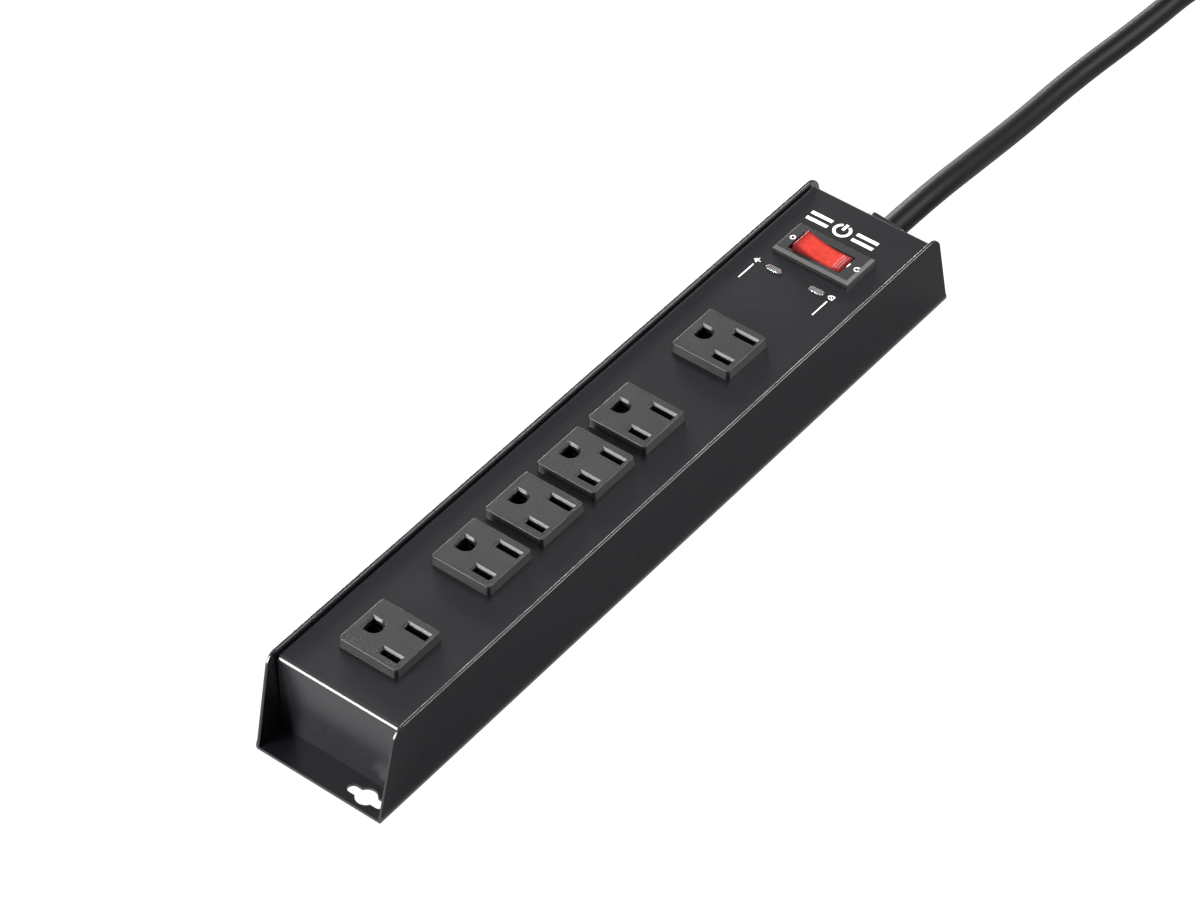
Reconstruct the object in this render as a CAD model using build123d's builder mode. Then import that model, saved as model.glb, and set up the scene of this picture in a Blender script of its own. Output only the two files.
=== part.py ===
"""Six-outlet metal power strip, modelled in millimetres.

Frame: the origin is the centre of the base's underside. +X runs along the strip
from its free end to its cord end, +Y is the side of the ground holes, +Z is up.
"""
from build123d import *
import os
from math import atan2, cos, degrees, hypot, pi, radians, sin, tan

os.makedirs("parts", exist_ok=True)

# ---------------------------------------------------------------- driving dimensions
LENGTH = 304.4          # base channel, end to end
WIDTH = 51.2            # over the side walls at their feet
WALL_HEIGHT = 35.4      # base underside to the walls' top edges
SHEET = 1.2             # steel thickness
SIDE_GAP = 0.1          # between cover and each wall at the foot
WALL_LEAN = 0.72        # how far a wall's top edge stands outside its foot
END_SLANT = 8.4         # how far a wall's end leans back from bottom to top
WALL_CORNERS = 6.5, 5.0  # rounding of the walls' upper corners at the cord end and the free end
WALL_RIM = 0.35         # softening of the walls' cut edges
WALL_FOOT = 3.0         # the softening stops this far up
COVER_TOP = 33.3        # upper face of the cover
COVER_HALF = 141.6      # centre to the outer face of the cord end's panel
COVER_NEAR = 141.0      # and of the free end's
COVER_BEND = 1.6        # outer bend radius of the cover
FOOT_LENGTH = 12.0      # inward foot under each end panel
HAIR = 0.05             # clearance of parts that sit on each other

KEYHOLE_X = 146.9       # keyholes, from the centre
KEYHOLE_Y = 15.2
KEYHOLE_R = 3.7         # screw-head entry
KEYHOLE_SLOT_W = 3.8    # screw-shank lobes
KEYHOLE_SLOT_L = 14.6

OUTLET_PITCH = 26.6     # the four outlets that stand close together
OUTLET_GAP = 45.0       # from them to the lone outlet at each end
OUTLET_1_X = -114.7
OUTLET_Y = 0.85         # face centre, sideways
FACE_X, FACE_Y = 21.4, 23.4     # face, top size
FACE_RISE = 3.6         # face above the cover
FACE_DRAFT = 0.4        # wider by this on each side at its foot
FACE_CORNER = 0.9
FACE_THICK = 2.4
BODY_X, BODY_Y = 20.8, 22.8     # outlet body below the cover
BODY_BOTTOM = 15.0
BODY_WALL = 1.3
CUTOUT_PLAY = 0.2       # cut-out larger than what passes through it

BLADE_SPACING = 12.7    # 5-15 receptacle layout
BLADE_Y = -5.7          # blade slots' centre from the face centre
GROUND_Y = BLADE_Y + 11.9
SLOT_W = 2.3
HOT_SLOT_L = 7.1
NEUTRAL_SLOT_L = 8.7
GROUND_R = 2.75
GROUND_FLAT = 2.6       # ground hole's centre to its flat side
BEVEL = 0.65
BEVEL_DEPTH = 0.9

BAR_Z = 11.2            # underside of the bus bars
BAR_T = 0.8
BAR_W = 4.4
LEAF_T = 0.7            # contact leaves
LEAF_TOP = 33.0
HOT_BAR_Y = -13.0       # bus bars' centre lines
NEUTRAL_BAR_Y = 1.9
GROUND_BAR_Y = 13.0

SWITCH_X = 112.3        # switch centre
SWITCH_Y = 0.0
BEZEL_X, BEZEL_Y = 16.2, 31.4
BEZEL_SHIFT = 0.75, 0.1     # the frame sits a little off the case below it
BEZEL_RISE = 2.4
BEZEL_CHAMFER = 1.0
CASE_X, CASE_Y = 13.6, 27.2
CASE_BOTTOM = 13.0
CASE_FLOOR = 1.6
ROCKER_HOLE_X, ROCKER_HOLE_Y = 9.6, 21.6
ROCKER_HOLE_SHIFT = 0.45        # the opening sits a little towards +Y
ROCKER_X = 9.0
ROCKER_HALF = 9.5
ROCKER_END_H = 4.5      # end's top above the pivot
ROCKER_SKIRT = 1.5      # below the pivot
ROCKER_WALL = 1.1
PIVOT_Z = 32.5
PIVOT_R = 1.3
PIVOT_PLAY = 0.08
ROCKER_TILT = 8.0       # each way from level; it rests with the reset end down
ARM_TILT = 6.0          # contact arm, each way from level
ARM_Z = 19.2            # contact arm's pivot height
ARM_HALF = 8.2
ARM_W = 4.0
TERMINAL_W, TERMINAL_T = 4.8, 0.8
TERMINAL_BOTTOM = 5.6
LOAD_Y, LINE_Y, LAMP_Y = 8.4, 0.45, -7.6

LENS_X = 97.6
LENS_YS = (9.7, -8.2)
LENS_L, LENS_W = 6.0, 2.4
LENS_RISE = 0.5

BOARD_X, BOARD_L, BOARD_W = 86.0, 34.0, 40.0
BOARD_Z, BOARD_T = 15.4, 1.6
VARISTOR_R, VARISTOR_T = 6.0, 4.2

CORD_D = 9.2
CORD_R = CORD_D / 2
EXIT_Y, EXIT_Z = -4.0, 24.0     # cord axis at the end panel
GLAND_HOLE_R = 7.0
HEAD_X = 3.0            # strain relief head, thickness along the cord
HEAD_Y, HEAD_Z = 16.0, 15.0
HEAD_TURN = -7.0        # it is fitted slightly turned
STUB_END = 127.0        # where the jacket ends inside

# The stored cord is an oval hank in line with the strip.
HANK_R = 30.0           # folds, at the cord's axis
HANK_RUN = 114.0        # straight from one fold to the other
HANK_X = 410.0          # centre of the nearer fold
HANK_Y = 10.0
HANK_TURNS = 3.5
HANK_PITCH = 9.4        # rise for each turn
FLOOR_Z = 4.65          # cord axis when it lies on the ground
HANK_END_Z = FLOOR_Z + HANK_TURNS * HANK_PITCH
HANK_TOP = 37.4         # the turns' upper side under the plug
PLUG_Z = 48.45

# From the strain relief's face, down to the floor and along it to the hank.
CORD_ROUTE = [
    (COVER_HALF + HEAD_X, EXIT_Y, EXIT_Z),
    (169.0, EXIT_Y, EXIT_Z),
    (204.0, -0.9, 16.0),
    (238.0, 1.9, 8.6),
    (275.0, 3.7, FLOOR_Z),
    (316.0, 0.0, FLOOR_Z),
    (354.0, -1.4, FLOOR_Z),
    (383.0, -17.0, FLOOR_Z),
    (HANK_X, HANK_Y - HANK_R, FLOOR_Z),
]
# From the hank's last turn, slanting up over it to the plug that lies on it.
TAIL_ROUTE = [
    (HANK_X + HANK_RUN, HANK_Y + HANK_R, HANK_END_Z),
    (500.0, 39.4, 38.1),
    (472.0, 32.0, 43.2),
    (444.0, 21.8, 48.1),
    (418.0, 12.0, PLUG_Z),
]

PLUG_W, PLUG_H, PLUG_L = 26.0, 22.0, 27.0
PLUG_NECK_L = 16.0
PRONG_W, PRONG_T, PRONG_L = 6.35, 1.5, 17.5
PIN_R, PIN_L = 2.4, 20.5

OUTLET_XS = [OUTLET_1_X, OUTLET_1_X + OUTLET_GAP]
OUTLET_XS += [OUTLET_XS[1] + OUTLET_PITCH * step for step in (1, 2, 3)]
OUTLET_XS += [OUTLET_XS[-1] + OUTLET_GAP]

WALL_IN = WIDTH / 2 - SHEET
COVER_HALF_Y = WALL_IN - SIDE_GAP
COVER_L = COVER_HALF + COVER_NEAR
COVER_MID = (COVER_HALF - COVER_NEAR) / 2
COVER_UNDER = COVER_TOP - SHEET
FACE_TOP = COVER_TOP + FACE_RISE
BEZEL_TOP = COVER_TOP + BEZEL_RISE
HOT_X = -BLADE_SPACING / 2
NEUTRAL_X = BLADE_SPACING / 2
FACE_TAPER = degrees(atan2(FACE_DRAFT, FACE_RISE))
BEVEL_TAPER = degrees(atan2(BEVEL, BEVEL_DEPTH))
COVER_SCREWS = [(x, y) for x in (-133.0, 133.0) for y in (-15.0, 15.0)]
SCREW_R = 1.5
SCREW_HEAD_R = 2.8
GROUND_SCREW = (118.0, -17.0)
BOARD_POSTS = [(BOARD_X + sx * 13.0, sy * 17.0) for sx in (-1, 1) for sy in (-1, 1)]
LINER_T = 0.4


def save(piece, name):
    """Label a finished piece and write it."""
    piece.part.label = name
    export_step(piece.part, f"parts/{name}.step")


def bend_radii(route):
    """One arc per corner: 0.45 of its shorter run over the tangent of half its turn."""
    radii = []
    for before, at, after in zip(route, route[1:], route[2:]):
        run_in = Vector(*at) - Vector(*before)
        run_out = Vector(*after) - Vector(*at)
        half_turn = radians(run_in.get_angle(run_out)) / 2
        radii.append(0.45 * min(run_in.length, run_out.length) / tan(half_turn))
    return radii


def tube(route, radius, radii):
    """A round closed tube along straight runs and tangent arcs."""
    with BuildPart() as piece:
        with BuildLine() as path:
            FilletPolyline(*route, radius=radii)
        centre_line = path.wires()[0]
        with BuildSketch(Plane(origin=centre_line @ 0, z_dir=centre_line % 0)):
            Circle(radius)
        sweep(path=centre_line)
    return piece, centre_line.length


# ------------------------------------------------------------------------ base channel
def slant_x(z):
    """Where a wall's leaning end is at a height, from the centre."""
    return LENGTH / 2 - END_SLANT * (z - SHEET) / (WALL_HEIGHT - SHEET)


WALL_ANGLE = degrees(atan2(WALL_LEAN, WALL_HEIGHT))


def wall_plate(outline, rounded=False):
    """A part of the +Y wall: drawn upright, then leant outwards about its foot."""
    with BuildPart() as plate:
        with BuildSketch(Plane.XZ):
            with BuildLine():
                Polyline(*outline, close=True)
            make_face()
            if rounded:
                fillet(vertices().group_by(Axis.Y)[-1].sort_by(Axis.X)[-1], radius=WALL_CORNERS[0])
                fillet(vertices().group_by(Axis.Y)[-1].sort_by(Axis.X)[0], radius=WALL_CORNERS[1])
        extrude(amount=SHEET)
        if rounded:
            cut_edges = plate.edges().filter_by(Axis.Y, reverse=True).group_by(Axis.Z)[1:]
            fillet([edge for group in cut_edges for edge in group], radius=WALL_RIM)
    return plate.part.moved(Location((0, WIDTH / 2, 0), (-WALL_ANGLE, 0, 0)))


lower_wall = wall_plate([
    (-LENGTH / 2, 0),
    (-LENGTH / 2, SHEET),
    (-slant_x(WALL_FOOT), WALL_FOOT),
    (slant_x(WALL_FOOT), WALL_FOOT),
    (LENGTH / 2, SHEET),
    (LENGTH / 2, 0),
])
upper_wall = wall_plate([
    (-slant_x(WALL_FOOT), WALL_FOOT),
    (-slant_x(WALL_HEIGHT), WALL_HEIGHT),
    (slant_x(WALL_HEIGHT), WALL_HEIGHT),
    (slant_x(WALL_FOOT), WALL_FOOT),
], rounded=True)
with BuildPart() as base_channel:
    with Locations((0, 0, SHEET / 2)):
        Box(LENGTH, WIDTH, SHEET)
    add(lower_wall)
    add(lower_wall.mirror(Plane.XZ))
    fillet(base_channel.edges().filter_by(Axis.X).group_by(Axis.Z)[0], radius=0.9)
    add(upper_wall)
    add(upper_wall.mirror(Plane.XZ))
    # a keyhole with a lobe each side in each mounting flange
    with BuildSketch():
        with Locations((-KEYHOLE_X, -KEYHOLE_Y), (KEYHOLE_X, KEYHOLE_Y)):
            Circle(KEYHOLE_R)
            SlotOverall(KEYHOLE_SLOT_L, KEYHOLE_SLOT_W, rotation=90)
        with Locations(*COVER_SCREWS):
            Circle(SCREW_R + HAIR)
        with Locations(GROUND_SCREW):
            Circle(SCREW_R)
    extrude(amount=SHEET, mode=Mode.SUBTRACT)
    # countersinks for the cover screws, seen from below
    with Locations(*[(x, y, SHEET / 2) for x, y in COVER_SCREWS]):
        Cone(SCREW_HEAD_R + HAIR, SCREW_R + HAIR, SHEET, mode=Mode.SUBTRACT)
save(base_channel, "base_channel")

# --------------------------------------------------------------------------- top cover
with BuildPart() as top_cover:
    with BuildSketch(Plane.XZ):
        with Locations((COVER_MID, (COVER_TOP + SHEET) / 2)):
            Rectangle(COVER_L, COVER_TOP - SHEET)
            Rectangle(COVER_L - 2 * SHEET, COVER_TOP - 3 * SHEET, mode=Mode.SUBTRACT)
        with Locations((COVER_MID, SHEET)):
            Rectangle(COVER_L - 2 * FOOT_LENGTH, 3 * SHEET, mode=Mode.SUBTRACT)
    extrude(amount=COVER_HALF_Y, both=True)
    bends = top_cover.edges().filter_by(Axis.Y)
    fillet(bends.group_by(Axis.Z)[-1], radius=COVER_BEND)
    with BuildSketch(Plane.XY.offset(COVER_UNDER)):
        with Locations(*[(x, OUTLET_Y) for x in OUTLET_XS]):
            Rectangle(BODY_X + CUTOUT_PLAY, BODY_Y + CUTOUT_PLAY)
        with Locations((SWITCH_X, SWITCH_Y)):
            Rectangle(CASE_X + CUTOUT_PLAY, CASE_Y + CUTOUT_PLAY)
        with Locations(*[(LENS_X, y) for y in LENS_YS]):
            SlotOverall(LENS_L + 2 * HAIR, LENS_W + 2 * HAIR, rotation=90)
    extrude(amount=SHEET, mode=Mode.SUBTRACT)
    with BuildSketch(Plane.YZ.offset(COVER_HALF - SHEET)):
        with Locations((EXIT_Y, EXIT_Z)):
            Circle(GLAND_HOLE_R)
    extrude(amount=SHEET, mode=Mode.SUBTRACT)
    with BuildSketch(Plane.XY.offset(SHEET)):
        with Locations(*COVER_SCREWS):
            Circle(SCREW_R + HAIR)
    extrude(amount=SHEET, mode=Mode.SUBTRACT)
save(top_cover, "top_cover")

# ------------------------------------------------------------------------ cover screws
with BuildPart() as cover_screws:
    for x, y in COVER_SCREWS:
        with Locations((x, y, SHEET / 2)):
            Cone(SCREW_HEAD_R, SCREW_R, SHEET - HAIR)
        with Locations((x, y, 3.4)):
            Cylinder(SCREW_R, 5.6)
        # cross recess in the head, open downwards
        with Locations((x, y, 0.35)):
            Box(3.0, 0.6, 0.7, mode=Mode.SUBTRACT)
            Box(0.6, 3.0, 0.7, mode=Mode.SUBTRACT)
save(cover_screws, "cover_screws")


# ----------------------------------------------------------------------------- outlets
def ground_outline(grow):
    """The ground hole: a half round towards the blade slots, flat the other way."""
    radius = GROUND_R + grow
    with Locations((0, OUTLET_Y + GROUND_Y)):
        Circle(radius)
    flat_height = GROUND_FLAT + grow
    with Locations((0, OUTLET_Y + GROUND_Y + flat_height / 2)):
        Rectangle(2 * radius, flat_height)


def slot_outline(x, length, grow):
    with Locations((x, OUTLET_Y + BLADE_Y)):
        Rectangle(SLOT_W + 2 * grow, length + 2 * grow)


OPENING_OUTLINES = (
    ground_outline,
    lambda grow: slot_outline(HOT_X, HOT_SLOT_L, grow),
    lambda grow: slot_outline(NEUTRAL_X, NEUTRAL_SLOT_L, grow),
)

for number, outlet_x in enumerate(OUTLET_XS, start=1):
    foot = Plane.XY.offset(COVER_TOP).shift_origin((outlet_x, 0, COVER_TOP))
    with BuildPart() as outlet:
        with BuildSketch(foot):
            with Locations((0, OUTLET_Y)):
                RectangleRounded(
                    FACE_X + 2 * FACE_DRAFT, FACE_Y + 2 * FACE_DRAFT, FACE_CORNER + FACE_DRAFT
                )
        extrude(amount=FACE_RISE, taper=FACE_TAPER)
        rim = outlet.edges().group_by(Axis.Z)[-1]
        fillet(rim, radius=0.3)
        with BuildSketch(foot):
            with Locations((0, OUTLET_Y)):
                Rectangle(BODY_X, BODY_Y)
        extrude(amount=BODY_BOTTOM - COVER_TOP)
        # snap lugs that hook under the cover
        with Locations((outlet_x, OUTLET_Y, COVER_UNDER - HAIR - 0.8)):
            Box(BODY_X + 1.3, 6.0, 1.6)
        # hollow for the contacts, open below
        with BuildSketch(foot.offset(FACE_RISE - FACE_THICK)):
            with Locations((0, OUTLET_Y)):
                Rectangle(BODY_X - 2 * BODY_WALL, BODY_Y - 2 * BODY_WALL)
        extrude(amount=BODY_BOTTOM - FACE_TOP, mode=Mode.SUBTRACT)
        # three openings, each with a bevelled lead-in
        for outline in OPENING_OUTLINES:
            with BuildSketch(foot.offset(FACE_RISE)):
                outline(0)
            extrude(amount=-(FACE_THICK + 0.2), mode=Mode.SUBTRACT)
            with BuildSketch(foot.offset(FACE_RISE)):
                outline(BEVEL)
            extrude(amount=-BEVEL_DEPTH, taper=BEVEL_TAPER, mode=Mode.SUBTRACT)
    save(outlet, f"outlet_{number}")


# ---------------------------------------------------------------------------- bus bars
def bus_bar(name, bar_y, contact_x, contact_y, leaf_gap, leaf_width):
    """A strip under the outlets with a pair of spring leaves rising into each."""
    start = OUTLET_XS[0] - 10
    end = OUTLET_XS[-1] + 13
    reach = contact_y - bar_y
    with BuildPart() as bar:
        with Locations(((start + end) / 2, bar_y, BAR_Z + BAR_T / 2)):
            Box(end - start, BAR_W, BAR_T)
        for outlet_x in OUTLET_XS:
            x = outlet_x + contact_x
            with Locations((x, bar_y + reach / 2, BAR_Z + BAR_T / 2)):
                Box(leaf_gap + 2 * LEAF_T, abs(reach) + leaf_width, BAR_T)
            for side in (-1, 1):
                leaf_x = x + side * (leaf_gap + LEAF_T) / 2
                with Locations((leaf_x, contact_y, (BAR_Z + LEAF_TOP) / 2)):
                    Box(LEAF_T, leaf_width, LEAF_TOP - BAR_Z)
    save(bar, name)


bus_bar("hot_bus_bar", HOT_BAR_Y, HOT_X, OUTLET_Y + BLADE_Y, 1.4, 6.0)
bus_bar("neutral_bus_bar", NEUTRAL_BAR_Y, NEUTRAL_X, OUTLET_Y + BLADE_Y, 1.4, 6.0)
bus_bar("ground_bus_bar", GROUND_BAR_Y, 0, OUTLET_Y + GROUND_Y, 4.7, 4.2)

with BuildPart() as insulating_liner:
    with Locations((-26.0, 0, SHEET + HAIR + LINER_T / 2)):
        Box(190.0, 2 * COVER_HALF_Y - 2, LINER_T)
save(insulating_liner, "insulating_liner")

# ------------------------------------------------------------------------------ switch
with BuildPart() as switch_case:
    with BuildSketch(Plane.XY.offset(COVER_TOP)):
        with Locations((SWITCH_X + BEZEL_SHIFT[0], SWITCH_Y + BEZEL_SHIFT[1])):
            Rectangle(BEZEL_X, BEZEL_Y)
    extrude(amount=BEZEL_RISE)
    chamfer(switch_case.edges().group_by(Axis.Z)[-1], length=BEZEL_CHAMFER)
    with BuildSketch(Plane.XY.offset(CASE_BOTTOM)):
        with Locations((SWITCH_X, SWITCH_Y)):
            Rectangle(CASE_X, CASE_Y)
    extrude(amount=COVER_TOP - CASE_BOTTOM)
    # snap lugs under the cover
    with Locations((SWITCH_X, SWITCH_Y, COVER_UNDER - HAIR - 1.0)):
        Box(5.0, CASE_Y + 1.3, 2.0)
    # rocker well
    with BuildSketch(Plane.XY.offset(BEZEL_TOP)):
        with Locations((SWITCH_X, SWITCH_Y + ROCKER_HOLE_SHIFT)):
            Rectangle(ROCKER_HOLE_X, ROCKER_HOLE_Y)
    extrude(amount=CASE_BOTTOM + CASE_FLOOR - BEZEL_TOP, mode=Mode.SUBTRACT)
    # pivot sockets in the two long walls
    with BuildSketch(Plane.YZ.offset(SWITCH_X)):
        with Locations((ROCKER_HOLE_SHIFT, PIVOT_Z)):
            Circle(PIVOT_R + PIVOT_PLAY)
    extrude(amount=ROCKER_HOLE_X / 2 + 1.5, both=True, mode=Mode.SUBTRACT)
    with BuildSketch(Plane.XY.offset(CASE_BOTTOM)):
        with Locations(*[(SWITCH_X, y) for y in (LOAD_Y, LINE_Y, LAMP_Y)]):
            Rectangle(TERMINAL_W, TERMINAL_T)
    extrude(amount=CASE_FLOOR, mode=Mode.SUBTRACT)
save(switch_case, "switch_case")

# Rocker: its profile plane is tilted, so that it is made in its resting pose.
rocker_plane = Plane(
    origin=(SWITCH_X, SWITCH_Y + ROCKER_HOLE_SHIFT, PIVOT_Z),
    x_dir=(0, cos(radians(ROCKER_TILT)), sin(radians(ROCKER_TILT))),
    z_dir=(1, 0, 0),
)
ROCKER_DIP = ROCKER_END_H - ROCKER_HALF * tan(radians(ROCKER_TILT))
GRIP_RIBS = (-8.6, -7.6, -6.6)  # from the pivot, on the reset half
with BuildPart() as switch_rocker:
    with BuildSketch(rocker_plane):
        with BuildLine():
            top = ThreePointArc(
                (-ROCKER_HALF, ROCKER_END_H), (0, ROCKER_DIP), (ROCKER_HALF, ROCKER_END_H)
            )
            Polyline(
                top @ 1,
                (ROCKER_HALF, -ROCKER_SKIRT),
                (-ROCKER_HALF, -ROCKER_SKIRT),
                top @ 0,
            )
        make_face()
    extrude(amount=ROCKER_X / 2, both=True)
    long_rims = switch_rocker.edges().group_by(Axis.Z)[-1]
    fillet(long_rims, radius=0.5)
    # grip ribs on the reset half, half sunk into the dished top
    with BuildSketch(rocker_plane):
        for rib in GRIP_RIBS:
            dish = (ROCKER_END_H - ROCKER_DIP) * (rib / ROCKER_HALF) ** 2
            with Locations((rib, ROCKER_DIP + dish)):
                Circle(0.35)
    extrude(amount=ROCKER_X / 2 - 0.9, both=True)
    with BuildSketch(rocker_plane):
        Circle(PIVOT_R)
    extrude(amount=ROCKER_X / 2 + 1.4, both=True)
    # hollow underneath, with a middle sleeve left for the plunger
    with BuildSketch(rocker_plane):
        inner_half = ROCKER_HALF - ROCKER_WALL
        for side in (-1, 1):
            with Locations((side * (inner_half + 2.6) / 2, -ROCKER_SKIRT / 2 + 0.6)):
                Rectangle(inner_half - 2.6, ROCKER_SKIRT + 1.2 + 0.6)
    extrude(amount=ROCKER_X / 2 - ROCKER_WALL, both=True, mode=Mode.SUBTRACT)
    sleeve = Plane(origin=rocker_plane.origin, z_dir=-rocker_plane.y_dir)
    with BuildSketch(sleeve):
        Circle(1.75)
    extrude(amount=ROCKER_SKIRT + 1, mode=Mode.SUBTRACT)
save(switch_rocker, "switch_rocker")

# Plunger and its spring sit in the rocker's sleeve and point down at the contact arm.
PLUNGER_TIP = PIVOT_Z - ARM_Z - 0.8
with BuildPart() as rocker_plunger:
    with BuildSketch(sleeve.offset(PLUNGER_TIP - 7.0)):
        Circle(1.55)
    extrude(amount=6.2)
    with BuildSketch(sleeve.offset(PLUNGER_TIP - 0.8)):
        Circle(1.0)
    extrude(amount=0.8)
save(rocker_plunger, "rocker_plunger")

with BuildPart() as plunger_spring:
    with BuildSketch(sleeve.offset(0.1)):
        Circle(1.5)
        Circle(1.0, mode=Mode.SUBTRACT)
    extrude(amount=PLUNGER_TIP - 7.2)
save(plunger_spring, "plunger_spring")

arm_plane = Plane(
    origin=(SWITCH_X, LINE_Y, ARM_Z),
    x_dir=(0, cos(radians(-ARM_TILT)), sin(radians(-ARM_TILT))),
    z_dir=(1, 0, 0),
)
with BuildPart() as switch_contact_arm:
    with BuildSketch(arm_plane):
        Rectangle(2 * ARM_HALF, 0.8)
        # contact rivet at the load end
        with Locations((ARM_HALF - 1.4, -0.8)):
            Rectangle(2.2, 1.0)
    extrude(amount=ARM_W / 2, both=True)
save(switch_contact_arm, "switch_contact_arm")

FLOOR_TOP = CASE_BOTTOM + CASE_FLOOR
CONTACT_TOP = ARM_Z - ARM_HALF * sin(radians(ARM_TILT)) - 1.45
with BuildPart() as load_terminal:
    with Locations((SWITCH_X, LOAD_Y, (TERMINAL_BOTTOM + CONTACT_TOP) / 2)):
        Box(TERMINAL_W, TERMINAL_T, CONTACT_TOP - TERMINAL_BOTTOM)
    with Locations((SWITCH_X, LOAD_Y - 1.0, CONTACT_TOP - 0.4)):
        Box(3.6, 2.8, 0.8)
save(load_terminal, "load_terminal")

with BuildPart() as line_terminal:
    saddle_top = ARM_Z - 0.8
    with Locations((SWITCH_X, LINE_Y, (TERMINAL_BOTTOM + saddle_top) / 2)):
        Box(TERMINAL_W, TERMINAL_T, saddle_top - TERMINAL_BOTTOM)
save(line_terminal, "line_terminal")

with BuildPart() as lamp_terminal:
    with Locations((SWITCH_X, LAMP_Y, (TERMINAL_BOTTOM + FLOOR_TOP + 1.2) / 2)):
        Box(TERMINAL_W, TERMINAL_T, FLOOR_TOP + 1.2 - TERMINAL_BOTTOM)
save(lamp_terminal, "lamp_terminal")

with BuildPart() as switch_lamp:
    with BuildSketch(Plane.YZ.offset(SWITCH_X - 3.2)):
        with Locations((6.6, 26.2)):
            Circle(1.9)
    extrude(amount=6.4)
    fillet(switch_lamp.edges().filter_by(GeomType.CIRCLE), radius=1.2)
save(switch_lamp, "switch_lamp")

# -------------------------------------------------------------------------- indicators
for y, name in zip(LENS_YS, ("grounded", "protected")):
    with BuildPart() as lens:
        with BuildSketch(Plane.XY.offset(COVER_UNDER - 0.9)):
            with Locations((LENS_X, y)):
                SlotOverall(LENS_L + 1.2, LENS_W + 1.2, rotation=90)
        extrude(amount=0.9 - HAIR)
        with BuildSketch(Plane.XY.offset(COVER_UNDER - HAIR)):
            with Locations((LENS_X, y)):
                SlotOverall(LENS_L, LENS_W, rotation=90)
        extrude(amount=SHEET + HAIR + LENS_RISE)
        fillet(lens.edges().group_by(Axis.Z)[-1], radius=0.35)
    save(lens, f"{name}_lens")

    with BuildPart() as indicator_lamp:
        lamp_top = COVER_UNDER - 2.5
        with BuildSketch(Plane.XY.offset(BOARD_Z + BOARD_T)):
            with Locations((LENS_X, y)):
                Circle(1.5)
        extrude(amount=lamp_top - BOARD_Z - BOARD_T)
        fillet(indicator_lamp.edges().group_by(Axis.Z)[-1], radius=1.2)
    save(indicator_lamp, f"{name}_lamp")

# ----------------------------------------------------------------------- surge circuit
with BuildPart() as surge_board:
    with Locations((BOARD_X, 0, BOARD_Z + BOARD_T / 2)):
        Box(BOARD_L, BOARD_W, BOARD_T)
    with BuildSketch(Plane.XY.offset(BOARD_Z)):
        with Locations(*BOARD_POSTS):
            Circle(1.3)
    extrude(amount=BOARD_T, mode=Mode.SUBTRACT)
save(surge_board, "surge_board")

with BuildPart() as board_posts:
    post_foot = SHEET + HAIR
    with BuildSketch(Plane.XY.offset(post_foot)):
        with Locations(*BOARD_POSTS):
            Circle(2.4)
    extrude(amount=BOARD_Z - post_foot)
    with BuildSketch(Plane.XY.offset(BOARD_Z)):
        with Locations(*BOARD_POSTS):
            Circle(1.2)
    extrude(amount=BOARD_T + 1.2)
save(board_posts, "board_posts")

with BuildPart() as varistors:
    for index in range(3):
        centre_x = BOARD_X - 9.0 + 7.0 * index
        with BuildSketch(Plane.YZ.offset(centre_x)):
            with Locations((2.0, BOARD_Z + BOARD_T + VARISTOR_R + 0.6)):
                Circle(VARISTOR_R)
        extrude(amount=VARISTOR_T)
        leg_top = BOARD_Z + BOARD_T + 2.6
        for side in (-1, 1):
            with Locations((centre_x + VARISTOR_T / 2, 2.0 + side * 3.7, leg_top - 1.3)):
                Box(0.8, 0.8, 2.6)
save(varistors, "varistors")

with BuildPart() as thermal_fuse:
    with BuildSketch(Plane.YZ.offset(BOARD_X - 8.0)):
        with Locations((-11.5, BOARD_Z + BOARD_T + 2.05)):
            Circle(2.0)
    extrude(amount=11.0)
save(thermal_fuse, "thermal_fuse")

# ----------------------------------------------------------------------- strain relief
head_plane = Plane(
    origin=(COVER_HALF, EXIT_Y, EXIT_Z - 0.4),
    x_dir=(0, cos(radians(HEAD_TURN)), -sin(radians(HEAD_TURN))),
    z_dir=(1, 0, 0),
)
with BuildPart() as strain_relief:
    with BuildSketch(head_plane):
        RectangleRounded(HEAD_Y, HEAD_Z, 3.0)
    extrude(amount=HEAD_X)
    fillet(strain_relief.edges().group_by(Axis.X)[-1], radius=0.7)
    with BuildSketch(Plane.YZ.offset(COVER_HALF)):
        with Locations((EXIT_Y, EXIT_Z)):
            Circle(GLAND_HOLE_R - HAIR)
    extrude(amount=-9.0)
    with BuildSketch(Plane.YZ.offset(COVER_HALF + HEAD_X)):
        with Locations((EXIT_Y, EXIT_Z)):
            Circle(CORD_R + HAIR)
    extrude(amount=-(9.0 + HEAD_X), mode=Mode.SUBTRACT)
save(strain_relief, "strain_relief")

with BuildPart() as strain_relief_lock:
    with BuildSketch(Plane.YZ.offset(COVER_HALF - SHEET - HAIR)):
        with Locations((EXIT_Y, EXIT_Z - 0.6)):
            Rectangle(17.0, 15.6)
        with Locations((EXIT_Y, EXIT_Z)):
            Circle(GLAND_HOLE_R, mode=Mode.SUBTRACT)
    extrude(amount=-2.4)
save(strain_relief_lock, "strain_relief_lock")

with BuildPart() as cord_inner_end:
    with BuildSketch(Plane.YZ.offset(STUB_END)):
        with Locations((EXIT_Y, EXIT_Z)):
            Circle(CORD_R)
    extrude(amount=COVER_HALF + HEAD_X - STUB_END)
save(cord_inner_end, "cord_inner_end")

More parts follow.
